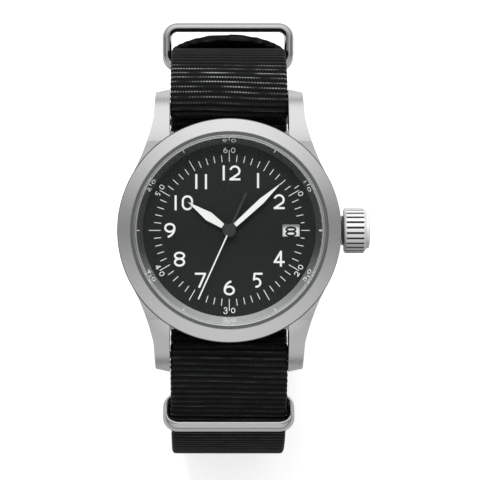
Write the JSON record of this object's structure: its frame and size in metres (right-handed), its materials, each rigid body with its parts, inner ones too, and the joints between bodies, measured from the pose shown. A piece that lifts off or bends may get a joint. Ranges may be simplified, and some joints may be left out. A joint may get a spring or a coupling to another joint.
{
  "type": "wrist watch",
  "caption": "Round steel field watch with a black numbered dial, luminous hands, date window, fluted winding knob and a one-piece woven pull-through strap.",
  "frame": {"origin": "on the table plane, on the flat back of the closed strap loop, straight below the dial's centre", "axes": "+Z out of the dial, +Y towards 12 o'clock, +X towards 3 o'clock and the winding knob"},
  "size_m": [0.044, 0.0799, 0.0514],
  "materials": {
    "case_steel": "satin brushed",
    "rehaut_steel": "polished cone",
    "crystal": "polished, coated",
    "gasket": "soft black",
    "holder": "moulded",
    "plate": "nickel plated",
    "brass": "gilt",
    "train_steel": "ground",
    "jewel": "clear red stone",
    "spring_steel": "tempered",
    "dial_black": "matte black",
    "print_white": "printed ink",
    "print_black": "printed ink",
    "date_white": "matte white",
    "hand_black": "satin black",
    "hand_white": "satin white",
    "hub_grey": "dark oxide",
    "lume": "luminous filling",
    "strap": "woven nylon",
    "ring_steel": "satin brushed"
  },
  "bodies": {
    "watch": {"mid_case": "case_steel", "bezel": "case_steel", "crystal": "crystal", "crystal_gasket": "gasket", "rehaut_ring": "rehaut_steel", "case_back": "case_steel", "case_back_gasket": "gasket", "crown_tube": "case_steel", "movement_holder": "holder", "main_plate": "plate", "barrel_bridge": "plate", "train_bridge": "plate", "balance_cock": "plate", "jewels": "jewel", "bridge_screws": "train_steel", "barrel_arbor": "train_steel", "ratchet_wheel": "train_steel", "rotor_bearing": "train_steel", "dial": "dial_black", "hour_numbers": "print_white", "minute_track": "print_white", "spring_bars": "train_steel", "bar_springs": "spring_steel", "main_band": "strap", "retaining_flap": "strap"},
    "crown_seal": {"crown_gasket": "gasket"},
    "crown": {"crown": "case_steel", "winding_stem": "train_steel", "sliding_pinion": "train_steel"},
    "seconds": {"fourth_wheel": "brass", "second_hand": "hand_white", "second_hand_hub": "hub_grey"},
    "third": {"third_wheel": "brass"},
    "center": {"center_wheel": "brass"},
    "barrel": {"barrel": "brass", "mainspring": "spring_steel"},
    "escape": {"escape_wheel": "train_steel"},
    "fork": {"pallet_fork": "train_steel"},
    "balance": {"balance_wheel": "brass", "hairspring": "spring_steel"},
    "minutes": {"cannon_pinion": "train_steel", "minute_hand": "hand_black", "minute_lume": "lume"},
    "hours": {"hour_wheel": "brass", "hour_hand": "hand_black", "hour_lume": "lume"},
    "motion": {"minute_wheel": "brass"},
    "date": {"date_disc": "date_white", "date_numbers": "print_black"},
    "date_driver": {"date_driving_wheel": "brass"},
    "rotor": {"rotor": "brass"},
    "flap_ring": {"flap_ring": "ring_steel"},
    "keeper_upper": {"keeper_upper": "ring_steel"},
    "keeper_lower": {"keeper_lower": "ring_steel"},
    "buckle_frame": {"buckle_frame": "ring_steel"},
    "buckle_tongue": {"buckle_tongue": "ring_steel"},
    "tip_12_crown_side": {"spring_bar_tip_12_crown_side": "train_steel"},
    "tip_12_far_side": {"spring_bar_tip_12_far_side": "train_steel"},
    "tip_6_crown_side": {"spring_bar_tip_6_crown_side": "train_steel"},
    "tip_6_far_side": {"spring_bar_tip_6_far_side": "train_steel"}
  },
  "joints": [
    {"name": "crown_pull", "type": "slide", "parent": "watch", "child": "crown_seal", "axis": [1, 0, 0], "range_m": [0, 0.0012]},
    {"name": "crown_turn", "type": "hinge", "parent": "crown_seal", "child": "crown", "pos_m": [0.022, 0, 0.0454], "axis": [1, 0, 0], "continuous": true},
    {"name": "second_hand_spin", "type": "hinge", "parent": "watch", "child": "seconds", "pos_m": [0, 0, 0.048], "axis": [0, 0, 1], "continuous": true},
    {"name": "third_wheel_spin", "type": "hinge", "parent": "watch", "child": "third", "pos_m": [-0.00284, -0.00405, 0.0435], "axis": [0, 0, 1], "continuous": true},
    {"name": "center_wheel_spin", "type": "hinge", "parent": "watch", "child": "center", "pos_m": [0, 0, 0.044], "axis": [0, 0, 1], "continuous": true},
    {"name": "barrel_spin", "type": "hinge", "parent": "watch", "child": "barrel", "pos_m": [-0.00264, 0.00566, 0.0444], "axis": [0, 0, 1], "continuous": true},
    {"name": "escape_wheel_spin", "type": "hinge", "parent": "watch", "child": "escape", "pos_m": [0.0016, -0.00276, 0.0426], "axis": [0, 0, 1], "continuous": true},
    {"name": "pallet_fork_rock", "type": "hinge", "parent": "watch", "child": "fork", "pos_m": [0.00385, -0.00434, 0.0426], "axis": [0, 0, 1], "range_deg": [-5, 5]},
    {"name": "balance_swing", "type": "hinge", "parent": "watch", "child": "balance", "pos_m": [0.00647, -0.00618, 0.0433], "axis": [0, 0, 1], "range_deg": [-270, 270], "stiffness_Nm_per_rad": 0.00000025},
    {"name": "minute_hand_spin", "type": "hinge", "parent": "watch", "child": "minutes", "pos_m": [0, 0, 0.047], "axis": [0, 0, 1], "continuous": true},
    {"name": "hour_hand_spin", "type": "hinge", "parent": "watch", "child": "hours", "pos_m": [0, 0, 0.0469], "axis": [0, 0, 1], "continuous": true},
    {"name": "minute_wheel_spin", "type": "hinge", "parent": "watch", "child": "motion", "pos_m": [0.00147, 0.00254, 0.0461], "axis": [0, 0, 1], "continuous": true},
    {"name": "date_disc_turn", "type": "hinge", "parent": "watch", "child": "date", "pos_m": [0, 0, 0.0463], "axis": [0, 0, 1], "continuous": true},
    {"name": "date_driver_spin", "type": "hinge", "parent": "watch", "child": "date_driver", "pos_m": [-0.0037, 0.00641, 0.0463], "axis": [0, 0, 1], "continuous": true},
    {"name": "rotor_spin", "type": "hinge", "parent": "watch", "child": "rotor", "pos_m": [0, 0, 0.0413], "axis": [0, 0, 1], "continuous": true},
    {"name": "flap_ring_swing", "type": "hinge", "parent": "watch", "child": "flap_ring", "pos_m": [0, -0.0302, 0.03376], "axis": [1, 0, 0], "range_deg": [-8, 8]},
    {"name": "keeper_upper_slide", "type": "slide", "parent": "watch", "child": "keeper_upper", "axis": [0, 0, 1], "range_m": [0, 0.0005]},
    {"name": "keeper_lower_slide", "type": "slide", "parent": "watch", "child": "keeper_lower", "axis": [0, -0.3173, -0.9483], "range_m": [0, 0.004]},
    {"name": "buckle_frame_swing", "type": "hinge", "parent": "watch", "child": "buckle_frame", "pos_m": [0, 0.02295, 0.0085], "axis": [1, 0, 0], "range_deg": [0, 3]},
    {"name": "buckle_tongue_swing", "type": "hinge", "parent": "buckle_frame", "child": "buckle_tongue", "pos_m": [0, 0.02295, 0.0085], "axis": [1, 0, 0], "range_deg": [0, 3]},
    {"name": "bar_tip_12_crown_side_slide", "type": "slide", "parent": "watch", "child": "tip_12_crown_side", "axis": [-1, 0, 0], "range_m": [0, 0.00075], "stiffness_N_per_m": 20},
    {"name": "bar_tip_12_far_side_slide", "type": "slide", "parent": "watch", "child": "tip_12_far_side", "axis": [1, 0, 0], "range_m": [0, 0.00075], "stiffness_N_per_m": 20},
    {"name": "bar_tip_6_crown_side_slide", "type": "slide", "parent": "watch", "child": "tip_6_crown_side", "axis": [-1, 0, 0], "range_m": [0, 0.00075], "stiffness_N_per_m": 20},
    {"name": "bar_tip_6_far_side_slide", "type": "slide", "parent": "watch", "child": "tip_6_far_side", "axis": [1, 0, 0], "range_m": [0, 0.00075], "stiffness_N_per_m": 20}
  ],
  "couplings": [
    {"joint": "third_wheel_spin", "follows": "second_hand_spin", "ratio": -0.13333},
    {"joint": "center_wheel_spin", "follows": "second_hand_spin", "ratio": 0.016667},
    {"joint": "barrel_spin", "follows": "second_hand_spin", "ratio": -0.002381},
    {"joint": "escape_wheel_spin", "follows": "second_hand_spin", "ratio": -10},
    {"joint": "hour_hand_spin", "follows": "minute_hand_spin", "ratio": 0.083333},
    {"joint": "minute_wheel_spin", "follows": "minute_hand_spin", "ratio": -0.33333},
    {"joint": "date_driver_spin", "follows": "minute_hand_spin", "ratio": -0.041667}
  ]
}
